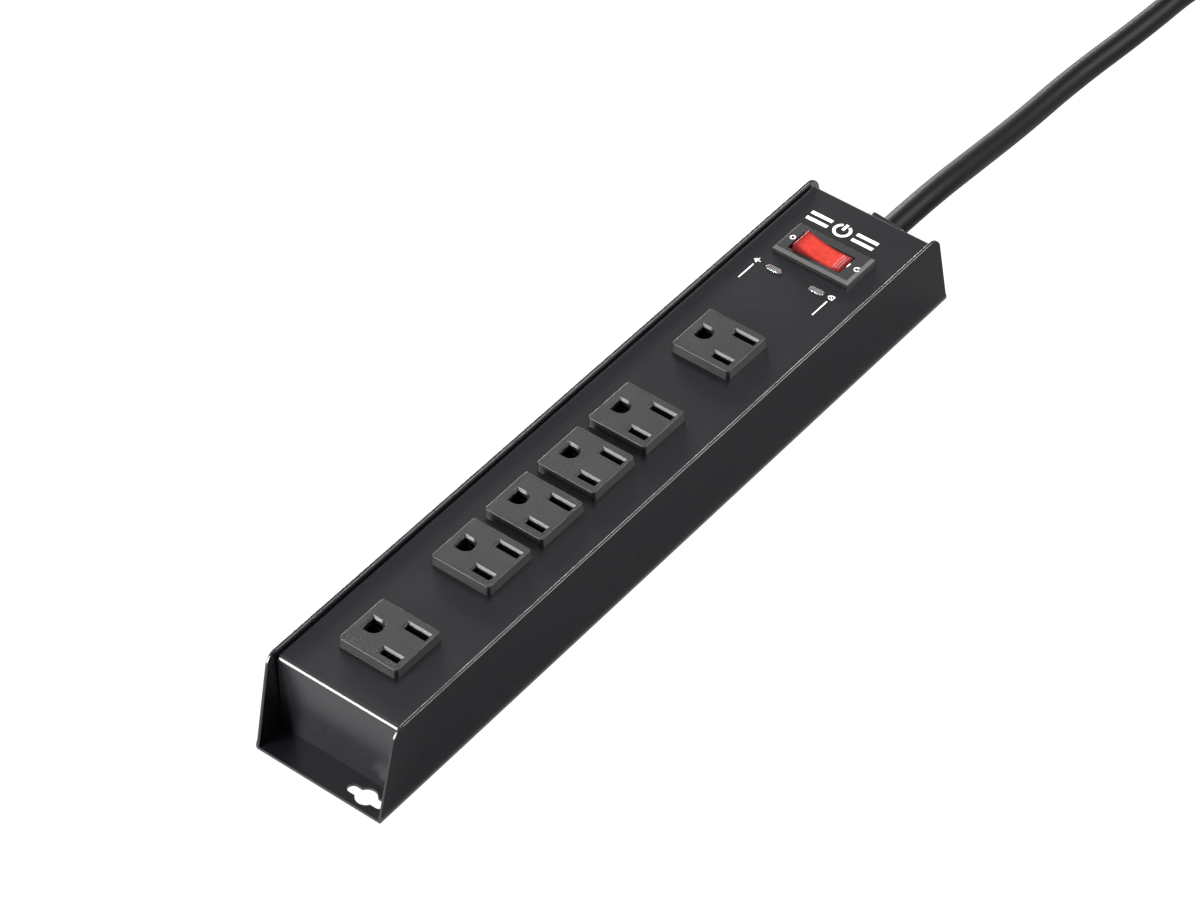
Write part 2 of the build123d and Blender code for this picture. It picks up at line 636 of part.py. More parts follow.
# ------------------------------------------------------------------------ inside wires
WIRE_R = 1.3
TERMINAL_FACE = SWITCH_X + TERMINAL_W / 2
BAR_END = OUTLET_XS[-1] + 13
BAR_MID_Z = BAR_Z + BAR_T / 2
RING_TOP = SHEET + HAIR + 0.8
WIRE_ROUTES = {
    "line_wire": [
        (STUB_END, -5.7, 25.0), (120.9, -5.7, 25.0), (120.9, LINE_Y, 8.4), (TERMINAL_FACE, LINE_Y, 8.4),
    ],
    "neutral_wire": [
        (STUB_END, -2.3, 24.0), (120.9, -2.3, 24.0), (120.9, 8.0, 4.2), (104.0, 9.0, 4.2),
        (78.0, 4.0, 4.2), (BAR_END + 3.2, NEUTRAL_BAR_Y, BAR_MID_Z),
        (BAR_END, NEUTRAL_BAR_Y, BAR_MID_Z),
    ],
    "load_wire": [
        (SWITCH_X - TERMINAL_W / 2, LOAD_Y, 8.0), (104.0, LOAD_Y, 8.0), (90.0, -12.0, 8.0),
        (BAR_END + 3.2, HOT_BAR_Y, BAR_MID_Z), (BAR_END, HOT_BAR_Y, BAR_MID_Z),
    ],
    "ground_wire": [
        (STUB_END, -5.0, 22.0), (123.9, -5.0, 22.0), (122.0, -17.0, 12.0), (122.0, -17.0, RING_TOP),
    ],
    "ground_link_wire": [
        (114.0, -17.0, RING_TOP), (114.0, -17.0, 11.3), (99.0, -12.0, 11.3), (84.0, 12.0, 11.6),
        (BAR_END + 3.2, GROUND_BAR_Y, BAR_MID_Z), (BAR_END, GROUND_BAR_Y, BAR_MID_Z),
    ],
}
for name, route in WIRE_ROUTES.items():
    wire, _ = tube(route, WIRE_R, 2.2)
    save(wire, name)

with BuildPart() as ground_ring_terminal:
    with Locations((GROUND_SCREW[0], GROUND_SCREW[1], SHEET + HAIR + 0.4)):
        Cylinder(3.6, 0.8)
        Box(10.4, 3.2, 0.8)
        Cylinder(SCREW_R + HAIR, 0.8, mode=Mode.SUBTRACT)
save(ground_ring_terminal, "ground_ring_terminal")

with BuildPart() as ground_screw:
    with Locations((GROUND_SCREW[0], GROUND_SCREW[1], RING_TOP + 1.1)):
        Cylinder(2.4, 2.2)
    with Locations((GROUND_SCREW[0], GROUND_SCREW[1], 1.2)):
        Cylinder(SCREW_R - HAIR, 2.4)
    with Locations((GROUND_SCREW[0], GROUND_SCREW[1], RING_TOP + 1.9)):
        Box(6.0, 0.7, 0.8, mode=Mode.SUBTRACT)
save(ground_screw, "ground_screw")

# ------------------------------------------------------------------------- power cord
SECTION = pi * CORD_R**2
for name, route in (("cord_tube", CORD_ROUTE), ("cord_tail", TAIL_ROUTE)):
    radii = bend_radii(route)
    cord, path_length = tube(route, CORD_R, radii)
    save(cord, name)
    print(name, "radii", [round(radius, 1) for radius in radii])
    print(name, "length", round(path_length, 1), "volume", round(cord.part.volume, 1))
    print(name, "section x length", round(SECTION * path_length, 1))

with BuildPart() as cord_hank:
    with BuildSketch(Plane.XY.offset(HAIR)):
        with Locations((HANK_X + HANK_RUN / 2, HANK_Y)):
            SlotCenterToCenter(HANK_RUN, 2 * HANK_R + CORD_D)
    extrude(amount=HANK_TOP - HAIR)
    rims = cord_hank.edges().group_by(Axis.Z)
    fillet(rims[0] + rims[-1], radius=CORD_R - 0.4)
save(cord_hank, "cord_hank")
print("hank length", round(HANK_TURNS * hypot(2 * HANK_RUN + 2 * pi * HANK_R, HANK_PITCH), 1))

# -------------------------------------------------------------------------------- plug
plug_end = Vector(*TAIL_ROUTE[-1])
plug_axis = (plug_end - Vector(*TAIL_ROUTE[-2])).normalized()
plug_plane = Plane(origin=plug_end, z_dir=plug_axis, x_dir=plug_axis.cross(Vector(0, 0, 1)))
PLUG_FACE = PLUG_NECK_L + PLUG_L
with BuildPart() as plug_body:
    # ribbed neck, then the body swells to its full section
    with BuildSketch(plug_plane):
        Circle(5.9)
    extrude(amount=PLUG_NECK_L)
    for ring in range(4):
        with BuildSketch(plug_plane.offset(2.0 + 3.2 * ring)):
            Circle(6.6)
        extrude(amount=1.6)
    with BuildSketch(plug_plane.offset(PLUG_NECK_L - 2)):
        RectangleRounded(15.0, 14.0, 5.0)
    with BuildSketch(plug_plane.offset(PLUG_NECK_L + 9)):
        RectangleRounded(PLUG_W, PLUG_H, 5.0)
    loft()
    with BuildSketch(plug_plane.offset(PLUG_NECK_L + 9)):
        RectangleRounded(PLUG_W, PLUG_H, 5.0)
    extrude(amount=PLUG_L - 9)
    fillet(plug_body.faces().sort_by(Axis(plug_end, plug_axis))[-1].edges(), radius=0.9)
save(plug_body, "plug_body")

prong_plane = plug_plane.offset(PLUG_FACE)
for side, name in ((-1, "plug_hot_blade"), (1, "plug_neutral_blade")):
    with BuildPart() as prong:
        with BuildSketch(prong_plane):
            with Locations((BLADE_Y, side * BLADE_SPACING / 2)):
                Rectangle(PRONG_W, PRONG_T)
        extrude(amount=PRONG_L)
        tip = prong.faces().sort_by(Axis(plug_end, plug_axis))[-1]
        chamfer(tip.edges(), length=0.5)
    save(prong, name)

with BuildPart() as plug_ground_pin:
    with BuildSketch(prong_plane):
        with Locations((GROUND_Y, 0)):
            Circle(PIN_R)
    extrude(amount=PIN_L)
    tip = plug_ground_pin.faces().sort_by(Axis(plug_end, plug_axis))[-1]
    fillet(tip.edges(), radius=1.6)
save(plug_ground_pin, "plug_ground_pin")
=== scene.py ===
"""Six-outlet metal power strip: finishes, cord, plug and printed marks round the CAD frame."""
from math import cos, pi, radians, sin, tau

import bpy
from bpy.props import FloatProperty, FloatVectorProperty, PointerProperty
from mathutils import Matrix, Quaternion, Vector


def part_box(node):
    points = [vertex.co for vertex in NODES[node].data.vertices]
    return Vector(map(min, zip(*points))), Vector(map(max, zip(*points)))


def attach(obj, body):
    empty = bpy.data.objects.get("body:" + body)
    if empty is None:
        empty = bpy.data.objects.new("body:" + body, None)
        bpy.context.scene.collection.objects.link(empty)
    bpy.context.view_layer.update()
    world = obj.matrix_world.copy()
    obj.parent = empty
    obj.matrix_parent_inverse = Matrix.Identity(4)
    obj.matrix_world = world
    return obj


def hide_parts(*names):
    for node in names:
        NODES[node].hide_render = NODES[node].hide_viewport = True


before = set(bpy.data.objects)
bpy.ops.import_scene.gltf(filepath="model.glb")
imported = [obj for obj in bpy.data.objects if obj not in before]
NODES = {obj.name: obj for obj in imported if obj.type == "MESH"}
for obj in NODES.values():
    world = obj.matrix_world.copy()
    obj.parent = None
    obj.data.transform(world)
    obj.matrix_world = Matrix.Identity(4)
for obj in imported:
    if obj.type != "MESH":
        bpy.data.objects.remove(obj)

bl_info = {
    "name": "Metal power strip",
    "version": (1, 0, 0),
    "blender": (4, 5, 0),
    "location": "View3D > Sidebar > Power strip",
    "description": "Builds the finishes, cord, plug, marks and studio of a metal power strip",
    "category": "Object",
}

MM = 0.001
COLOUR_A, COLOUR_B, COLOUR_OUT = 6, 7, 2    # sockets of the mixer when it mixes colours
SMOOTH_ANGLE = radians(35)                  # flatter joins than this are shaded smooth
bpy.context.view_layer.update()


def linear(code):
    """Linear RGBA of an sRGB hex colour."""
    channels = [int(code[i : i + 2], 16) / 255 for i in (1, 3, 5)]
    return [c / 12.92 if c <= 0.04045 else ((c + 0.055) / 1.055) ** 2.4 for c in channels] + [1.0]


# ------------------------------------------------------------------------ user's values
def length(label, about, millimetres):
    return FloatProperty(
        name=label, description=about, default=millimetres * MM, min=0, unit="LENGTH", precision=5
    )


def colour(label, about, code):
    return FloatVectorProperty(
        name=label, description=about, default=linear(code), size=4, min=0, max=1, subtype="COLOR"
    )


def angle(label, about, degrees):
    return FloatProperty(name=label, description=about, default=radians(degrees), unit="ROTATION")


class PowerStripSizes(bpy.types.PropertyGroup):
    """Sizes of what is made round the CAD frame."""

    cord_diameter: length("Cord diameter", "Outside of the cord's jacket", 9.2)
    hank_radius: length("Hank fold", "Radius of the hank's folds at the cord's axis", 30)
    hank_run: length("Hank run", "Straight part of the hank", 114)
    hank_pitch: length("Hank pitch", "Rise of the cord for each turn", 9.4)
    hank_turns: FloatProperty(name="Hank turns", description="Turns of stored cord", default=3.5, min=1)
    tie_width: length("Tie width", "Width of the hook-and-loop ties", 11)
    ink_height: length("Ink height", "How far the printed ink stands proud", 0.06)


class PowerStripColours(bpy.types.PropertyGroup):
    """Colours of the finishes."""

    powder_coat: colour("Powder coat", "Black coating on the steel", "#0d0c11")
    outlet_black: colour("Outlet plastic", "Black plastic of the outlets", "#121214")
    switch_black: colour("Switch plastic", "Black plastic of the switch frame", "#151517")
    rocker_red: colour("Rocker red", "Clear red plastic of the rocker", "#3c0508")
    rocker_glow: colour("Rocker glow", "Light of the lamp under the rocker", "#ff5040")
    jacket_black: colour("Cord jacket", "Black jacket of the cord", "#0b0b0c")
    ink_white: colour("Ink", "White printed marks", "#f4f4f4")


class PowerStripView(bpy.types.PropertyGroup):
    """Camera and studio."""

    azimuth: angle("Azimuth", "Round the strip", -51.69)
    elevation: angle("Elevation", "Above the floor", 44.43)
    roll: angle("Roll", "Turn about the line of sight", -0.22)
    distance: length("Distance", "Camera to what it looks at", 1424.7)
    target: FloatVectorProperty(
        name="Target", description="Point that the camera looks at",
        default=(3.2 * MM, 10.5 * MM, 20.0 * MM), unit="LENGTH", subtype="TRANSLATION",
    )
    lens: FloatProperty(name="Lens", description="Focal length", default=129.9, unit="CAMERA")


# ------------------------------------------------------------------------ small helpers
def values():
    """The user's sizes, colours and view."""
    scene = bpy.context.scene
    return scene.power_strip_sizes, scene.power_strip_colours, scene.power_strip_view


def deselect_all():
    """Object mode, nothing selected and nothing active."""
    if bpy.context.object and bpy.context.object.mode != "OBJECT":
        bpy.ops.object.mode_set(mode="OBJECT")
    bpy.ops.object.select_all(action="DESELECT")
    bpy.context.view_layer.objects.active = None


def make_active(piece):
    """Selects one piece alone."""
    deselect_all()
    piece.select_set(True)
    bpy.context.view_layer.objects.active = piece


def apply_modifier(piece, kind, **settings):
    """Adds a modifier and applies it."""
    make_active(piece)
    modifier = piece.modifiers.new(kind.title(), kind)
    for name, value in settings.items():
        setattr(modifier, name, value)
    bpy.ops.object.modifier_apply(modifier=modifier.name)


def join(pieces, name):
    """Joins meshes into one named piece."""
    make_active(pieces[0])
    for piece in pieces[1:]:
        piece.select_set(True)
    if len(pieces) > 1:
        bpy.ops.object.join()
    pieces[0].name = name
    pieces[0].data.name = name
    return pieces[0]


def settle(piece):
    """Puts the piece's place into its mesh, with its origin at the frame's."""
    make_active(piece)
    bpy.ops.object.transform_apply(location=True, rotation=True, scale=True)


def cube(size, place):
    """A box of that size, ready to shape."""
    deselect_all()
    bpy.ops.mesh.primitive_cube_add(size=1, location=place, scale=size)
    piece = bpy.context.object
    settle(piece)
    return piece


def pick(piece, mode, wanted):
    """Edit mode with only the faces or edges selected that wanted accepts."""
    make_active(piece)
    bpy.ops.object.mode_set(mode="EDIT")
    bpy.ops.mesh.select_mode(type=mode)
    bpy.ops.mesh.select_all(action="DESELECT")
    bpy.ops.object.mode_set(mode="OBJECT")
    mesh = piece.data
    if mode == "FACE":
        for face in mesh.polygons:
            face.select = wanted(face)
    else:
        for edge in mesh.edges:
            ends = [mesh.vertices[i].co for i in edge.vertices]
            edge.select = wanted((ends[1] - ends[0]).normalized(), (ends[0] + ends[1]) / 2)
    bpy.ops.object.mode_set(mode="EDIT")


def add_node(tree, kind, inputs=None, **settings):
    """Adds a shader node, with its settings and with values or links for its inputs."""
    node = tree.nodes.new(kind)
    for name, value in settings.items():
        setattr(node, name, value)
    for socket, value in (inputs or {}).items():
        if isinstance(value, bpy.types.NodeSocket):
            tree.links.new(value, node.inputs[socket])
        else:
            node.inputs[socket].default_value = value
    return node


def grainy(name, tint, dark, grain_mm, depth_mm, roughness, shader=None, patch_mm=25.0, drift=0.06):
    """A finish with a fine surface grain, faint broad patches and a roughness that drifts a little.

    dark is the share of the tint's light that the darkest grains keep.
    """
    material = bpy.data.materials.new(name)
    material.use_nodes = True
    tree = material.node_tree
    tree.nodes.clear()
    place = add_node(tree, "ShaderNodeTexCoord").outputs["Object"]
    grain, patches = (
        add_node(
            tree, "ShaderNodeTexNoise", {"Vector": place, "Scale": 1 / (size * MM), "Detail": 3.0}
        ).outputs["Fac"]
        for size in (grain_mm, patch_mm)
    )
    both = add_node(tree, "ShaderNodeMath", {0: grain, 1: patches}, operation="MULTIPLY").outputs[0]
    # two noises multiplied seldom leave this range, so it is stretched over the whole mix
    spread = add_node(
        tree, "ShaderNodeMapRange", {"Value": both, "From Min": 0.05, "From Max": 0.55}
    ).outputs[0]
    shade = [c * dark for c in tint[:3]] + [1.0]
    base = add_node(
        tree, "ShaderNodeMix", {0: spread, COLOUR_A: shade, COLOUR_B: list(tint)}, data_type="RGBA"
    ).outputs[COLOUR_OUT]
    rough = add_node(
        tree, "ShaderNodeMapRange",
        {"Value": patches, "To Min": roughness - drift / 2, "To Max": roughness + drift / 2},
    ).outputs[0]
    bump = add_node(tree, "ShaderNodeBump", {"Height": grain, "Distance": depth_mm * MM}).outputs[0]
    surface = add_node(
        tree, "ShaderNodeBsdfPrincipled",
        {"Base Color": base, "Roughness": rough, "Normal": bump} | (shader or {}),
    )
    add_node(tree, "ShaderNodeOutputMaterial", {"Surface": surface.outputs[0]})
    return material


def dress(material, *nodes):
    """Gives CAD nodes their finish."""
    for name in nodes:
        slots = NODES[name].data.materials
        slots.clear()
        slots.append(material)


def finish_piece(piece, body, material, slot, *nodes):
    """Dresses a new piece, hangs it on its body and hides the CAD nodes that it replaces."""
    piece.data.materials.clear()
    piece.data.materials.append(material)
    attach(piece, body)
    if nodes:
        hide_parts(*nodes)
    return piece


# --------------------------------------------------------------------------- the shell
class POWERSTRIP_OT_shell(bpy.types.Operator):
    """Gives the steel base, cover and screws their finishes"""

    bl_idname = "power_strip.shell"
    bl_label = "Steel shell"

    def execute(self, context):
        _, colours, _ = values()
        # Polyester powder coat, baked on steel: a low sheen and a fine orange peel.
        coat = grainy(
            "black_powder_coat", colours.powder_coat, 0.92, 0.8, 0.0004, 0.27,
            {"Specular IOR Level": 0.5},
        )
        dress(coat, "base_channel", "top_cover")
        # Zinc-plated steel, cold headed: bright, with a faint drawn haze.
        zinc = grainy("zinc_plated_steel", linear("#c3c6c9"), 0.8, 0.7, 0.004, 0.3, {"Metallic": 1.0})
        dress(zinc, "cover_screws", "ground_screw", "ground_ring_terminal", "plunger_spring")
        return {"FINISHED"}


class POWERSTRIP_OT_outlets(bpy.types.Operator):
    """Gives the six outlets and the cord's bushing their finish"""

    bl_idname = "power_strip.outlets"
    bl_label = "Outlets and bushing"

    def execute(self, context):
        _, colours, _ = values()
        # Glass-filled nylon from a spark-eroded mould: matt, with a sandy grain that glints.
        plastic = grainy(
            "moulded_black_nylon", colours.outlet_black, 0.3, 0.55, 0.12, 0.4,
            {"Specular IOR Level": 0.4},
        )
        dress(plastic, *(f"outlet_{number}" for number in range(1, 7)))
        # Nylon 66 bushing from a polished mould: smoother and a little glossier.
        bushing = grainy("moulded_nylon_bushing", colours.outlet_black, 0.7, 0.9, 0.004, 0.34)
        dress(bushing, "strain_relief", "strain_relief_lock")
        return {"FINISHED"}


# -------------------------------------------------------------------------- the switch
# Across the rocker (X) and along it (Y): half the width that glows fully, and where the glow is faintest;
# the fall-off towards the sides and ends is painted shade.
GLOW_AND_SHADE_FADES = (("x", 2.9 * MM, 4.7 * MM), ("y", 5.5 * MM, 10.6 * MM))
FAINTEST_GLOW_IN_SHADE = 0.2     # share of the full glow
LAMP_POWER = 0.85
# glow colour at the rocker's ends, where the painted shade falls
ROCKER_EDGE_RED = "#d0182c"


def lit_red_plastic():
    """Clear red polycarbonate over a lamp, the lamp's light painted in as glow: orange in the middle,
    fading to dark red towards its edges as painted shade, with blotches of painted reflection.
    """
    _, colours, _ = values()
    material = bpy.data.materials.new("clear_red_polycarbonate")
    material.use_nodes = True
    tree = material.node_tree
    tree.nodes.clear()
    place = add_node(tree, "ShaderNodeTexCoord").outputs["Object"]
    low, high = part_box("switch_rocker")
    parts = add_node(tree, "ShaderNodeSeparateXYZ", {0: place}).outputs
    middle = (low + high) / 2
    # soft blotches about 2.5 mm across: painted reflections of the lamp and the ribs inside the plastic
    painted_reflection_blotch = add_node(
        tree, "ShaderNodeTexNoise",
        {"Vector": place, "Scale": 1 / (2.5 * MM), "Detail": 2.0, "Distortion": 0.6},
    ).outputs["Fac"]
    painted_reflection_cloud = add_node(
        tree, "ShaderNodeMapRange", {"Value": painted_reflection_blotch, "To Min": 0.55, "To Max": 1.35}
    ).outputs[0]
    glow_and_shade_fades = []
    for axis, full, faintest in GLOW_AND_SHADE_FADES:
        off = add_node(
            tree, "ShaderNodeMath", {0: parts[axis.upper()], 1: getattr(middle, axis)}, operation="SUBTRACT"
        ).outputs[0]
        away = add_node(tree, "ShaderNodeMath", {0: off}, operation="ABSOLUTE").outputs[0]
        glow_and_shade_fades.append(add_node(
            tree, "ShaderNodeMapRange",
            {"Value": away, "From Min": full, "From Max": faintest, "To Min": 1.0, "To Max": FAINTEST_GLOW_IN_SHADE},
            interpolation_type="SMOOTHSTEP",
        ).outputs[0])
    both = add_node(tree, "ShaderNodeMath", {0: glow_and_shade_fades[0], 1: glow_and_shade_fades[1]}, operation="MULTIPLY").outputs[0]
    shine = add_node(tree, "ShaderNodeMath", {0: both, 1: painted_reflection_cloud}, operation="MULTIPLY").outputs[0]
    glow = add_node(tree, "ShaderNodeMath", {0: shine, 1: LAMP_POWER}, operation="MULTIPLY").outputs[0]
    # the glow turns redder towards the ends: painted shade
    tone = add_node(
        tree, "ShaderNodeMix",
        {0: glow_and_shade_fades[1], COLOUR_A: linear(ROCKER_EDGE_RED), COLOUR_B: list(colours.rocker_glow)},
        data_type="RGBA",
    ).outputs[COLOUR_OUT]
    surface = add_node(
        tree, "ShaderNodeBsdfPrincipled",
        {
            "Base Color": list(colours.rocker_red), "Roughness": 0.3, "IOR": 1.58,
            "Specular IOR Level": 0.15, "Emission Color": tone, "Emission Strength": glow,
        },
    )
    add_node(tree, "ShaderNodeOutputMaterial", {"Surface": surface.outputs[0]})
    return material


class POWERSTRIP_OT_switch(bpy.types.Operator):
    """Gives the switch and the indicator lights their finishes"""

    bl_idname = "power_strip.switch"
    bl_label = "Switch and indicators"

    def execute(self, context):
        _, colours, _ = values()
        # Flame-retardant nylon: fine matt texture, a shade smoother than the outlets.
        frame_plastic = grainy(
            "moulded_switch_nylon", colours.switch_black, 0.7, 0.6, 0.01, 0.42,
            {"Specular IOR Level": 0.35},
        )
        dress(frame_plastic, "switch_case")
        dress(lit_red_plastic(), "switch_rocker")
        # Clear polycarbonate: sharp glints over a grey depth.
        clear = grainy(
            "clear_polycarbonate", linear("#e9ecee"), 0.9, 2.0, 0.002, 0.06,
            {"Transmission Weight": 0.9, "IOR": 1.58}, drift=0.02,
        )
        dress(clear, "grounded_lens", "protected_lens")
        # Neon glow lamp: thin glass with an orange discharge.
        neon = grainy(
            "neon_lamp_glass", linear("#ff8a4a"), 0.8, 1.5, 0.002, 0.1,
            {"Transmission Weight": 0.4, "Emission Color": linear("#ff6a2a"), "Emission Strength": 0.4},
        )
        dress(neon, "switch_lamp", "grounded_lamp", "protected_lamp")
        return {"FINISHED"}


# ------------------------------------------------------------------------- inside parts
# Finish, sRGB colour, darker share, grain mm, depth mm, roughness, metallic, CAD nodes.
INSIDE_FINISHES = (
    # Rolled brass strip: warm metal with a fine rolling grain, darker than bare brass as painted shade for
    # the dark insides of the slots.
    ("rolled_brass", "#8f7038", 0.7, 0.6, 0.004, 0.3, 1.0,
     ("hot_bus_bar", "neutral_bus_bar", "ground_bus_bar", "switch_contact_arm", "load_terminal",
      "line_terminal", "lamp_terminal")),
    # Nickel-plated brass prongs: cooler, smoother and brighter than bare brass.
    ("nickel_plated_brass", "#cfcabb", 0.85, 0.8, 0.002, 0.22, 1.0,
     ("plug_hot_blade", "plug_neutral_blade", "plug_ground_pin")),
    # Vulcanised fibre card: dull grey-black with a paper tooth.
    ("vulcanised_fibre", "#3a3a3c", 0.7, 0.5, 0.02, 0.8, 0.0, ("insulating_liner",)),
    # Glass-epoxy laminate under green solder mask.
    ("glass_epoxy_board", "#1f5a34", 0.7, 0.8, 0.006, 0.35, 0.0, ("surge_board",)),
    # Dipped epoxy on the varistors: blue, glossy and slightly lumpy.
    ("dipped_blue_epoxy", "#1f4fa0", 0.75, 2.5, 0.05, 0.22, 0.0, ("varistors",)),
    # Thermal fuse in a tan sealed sleeve.
    ("tan_sleeve", "#b99a6b", 0.8, 0.8, 0.008, 0.5, 0.0, ("thermal_fuse",)),
    # Natural nylon: milky and waxy.
    ("natural_nylon", "#dcd9cf", 0.9, 1.2, 0.006, 0.42, 0.0, ("board_posts", "rocker_plunger")),
    # Extruded PVC insulation: even colour and a soft sheen.
    ("black_wire_pvc", "#1b1b1c", 0.8, 0.8, 0.006, 0.38, 0.0, ("line_wire", "load_wire")),
    ("white_wire_pvc", "#e4e3de", 0.92, 0.8, 0.006, 0.38, 0.0, ("neutral_wire",)),
    ("green_wire_pvc", "#1d7a3a", 0.85, 0.8, 0.006, 0.38, 0.0, ("ground_wire", "ground_link_wire")),
)


class POWERSTRIP_OT_inside(bpy.types.Operator):
    """Gives the parts inside the shell and the plug's prongs their finishes"""

    bl_idname = "power_strip.inside"
    bl_label = "Inside parts and prongs"

    def execute(self, context):
        for name, code, dark, grain, depth, roughness, metallic, nodes in INSIDE_FINISHES:
            dress(grainy(name, linear(code), dark, grain, depth, roughness, {"Metallic": metallic}), *nodes)
        return {"FINISHED"}


# ---------------------------------------------------------------------------- the cord
# From the strain relief down to the floor and along it to the hank, in millimetres.
CORD_ROUTE = (
    (144.6, -4, 24), (169, -4, 24), (204, -0.9, 16), (238, 1.9, 8.6), (275, 3.7, 4.65), (316, 0, 4.65),
    (354, -1.4, 4.65), (383, -17, 4.65), (410, -20, 4.65),
)
# From the hank's last turn, slanting up over it to the plug that lies on it.
TAIL_ROUTE = (
    (524, 40, 37.55), (500, 39.4, 38.1), (472, 32, 43.2), (444, 21.8, 48.1), (418, 12, 48.45),
)
HANK_FOLD = (410, 10)   # centre of the fold nearer to the strip
HANK_STEPS = 26         # points for each turn
HANK_STRAY = 1.2        # how far the turns stray from a neat pile, along the hank
STRAY_RATE = 2.3        # times that they stray in each turn

# Ties round the two sides of the hank: name, side, foot and top of the strap in millimetres.
TIES = (("hank_tie_far", 1, 5.0, 35.2), ("hank_tie_near", -1, 0.3, 39.8))

# Finger ridges on the plug, in millimetres.
RIDGES_EACH_SIDE = 4
RIDGE_SIZE = (1.4, 1.3, 12)
FIRST_RIDGE = 28        # from the plug's cord end
RIDGE_PITCH = 3.2
RIDGE_OUT = 13.0        # from the plug's middle to a ridge's middle


def hank_points(sizes):
    """Points round the oval turns, half a step off its ends so that the line meets both straight on."""
    radius, run = sizes.hank_radius, sizes.hank_run
    fold = pi * radius
    turn = 2 * (run + fold)
    spacing = turn / HANK_STEPS
    outer = radius / cos(spacing / radius / 2)
    for step in range(round(sizes.hank_turns * HANK_STEPS)):
        gone = (step + 0.5) * spacing
        along = gone % turn
        half, into = divmod(along, run + fold)
        side = -1 if half else 1
        if into < run:
            x, y = into, -radius
        else:
            bend = (into - run) / radius
            x, y = run + outer * sin(bend), -outer * cos(bend)
        # the second half of a turn is the first one turned about the hank's middle
        x, y = (run / 2 + side * (x - run / 2), side * y)
        ease = HANK_STRAY * MM * sin(STRAY_RATE * tau * gone / turn)
        yield (
            HANK_FOLD[0] * MM + x + ease,
            HANK_FOLD[1] * MM + y,
            CORD_ROUTE[-1][2] * MM + sizes.hank_pitch * gone / turn,
        )


def jacket():
    """Flexible PVC, extruded: black with a satin sheen and a faint drag along it."""
    _, colours, _ = values()
    return grainy(
        "extruded_pvc_jacket", colours.jacket_black, 0.7, 0.7, 0.006, 0.5, {"Specular IOR Level": 0.1},
        patch_mm=12.0, drift=0.1,
    )


def hank_tie(name, outward, low, high, material):
    """A hook-and-loop strap round the turns on one side of the hank, +1 or -1 from its middle."""
    sizes, _, _ = values()
    low_z, high_z = low * MM, high * MM
    side_y = HANK_FOLD[1] * MM + outward * sizes.hank_radius
    play, thickness = 0.5 * MM, 0.7 * MM
    wide = sizes.cord_diameter + 2 * (play + thickness)
    middle_x = HANK_FOLD[0] * MM + sizes.hank_run / 2
    strap = cube((sizes.tie_width, wide, high_z - low_z), (middle_x, side_y, (low_z + high_z) / 2))
    pick(strap, "FACE", lambda face: abs(face.normal.x) > 0.9)
    bpy.ops.mesh.delete(type="ONLY_FACE")
    pick(strap, "EDGE", lambda along, middle: abs(along.x) > 0.9)
    bpy.ops.mesh.bevel(offset=wide * 0.42, segments=7)
    bpy.ops.object.mode_set(mode="OBJECT")
    apply_modifier(strap, "SOLIDIFY", thickness=thickness, offset=-1)
    # the free end folds back over the outside
    flap_y = side_y + outward * (wide / 2 + thickness / 2)
    flap_size = (sizes.tie_width, thickness, (high_z - low_z) * 0.4)
    flap = cube(flap_size, (middle_x, flap_y, (low_z + high_z) / 2))
    strap = join([strap, flap], name)
    apply_modifier(strap, "BEVEL", width=0.2 * MM, segments=2, limit_method="ANGLE")
    make_active(strap)
    bpy.ops.object.shade_smooth_by_angle(angle=SMOOTH_ANGLE)
    return finish_piece(strap, "housing", material, "cord_jacket")


def plug_grips(material):
    """Raised finger ridges on the plug's two wide sides."""
    end, before = (Vector(point) * MM for point in (TAIL_ROUTE[-1], TAIL_ROUTE[-2]))
    out = Vector((end.x - before.x, end.y - before.y, 0)).normalized()
    across = out.cross(Vector((0, 0, 1)))
    ridges = []
    for side in (-1, 1):
        for step in range(RIDGES_EACH_SIDE):
            centre = end + out * (FIRST_RIDGE + RIDGE_PITCH * step) * MM + across * side * RIDGE_OUT * MM
            centre.z = end.z
            ridge = cube([side_length * MM for side_length in RIDGE_SIZE], (0, 0, 0))
            pick(ridge, "EDGE", lambda along, middle: True)
            bpy.ops.mesh.bevel(offset=0.45 * MM, segments=3)
            bpy.ops.object.mode_set(mode="OBJECT")
            ridge.rotation_euler = out.to_track_quat("X", "Z").to_euler()
            ridge.location = centre
            settle(ridge)
            ridges.append(ridge)
    grips = join(ridges, "plug_grips")
    make_active(grips)
    bpy.ops.object.shade_smooth_by_angle(angle=SMOOTH_ANGLE)
    return finish_piece(grips, "housing", material, "cord_jacket")


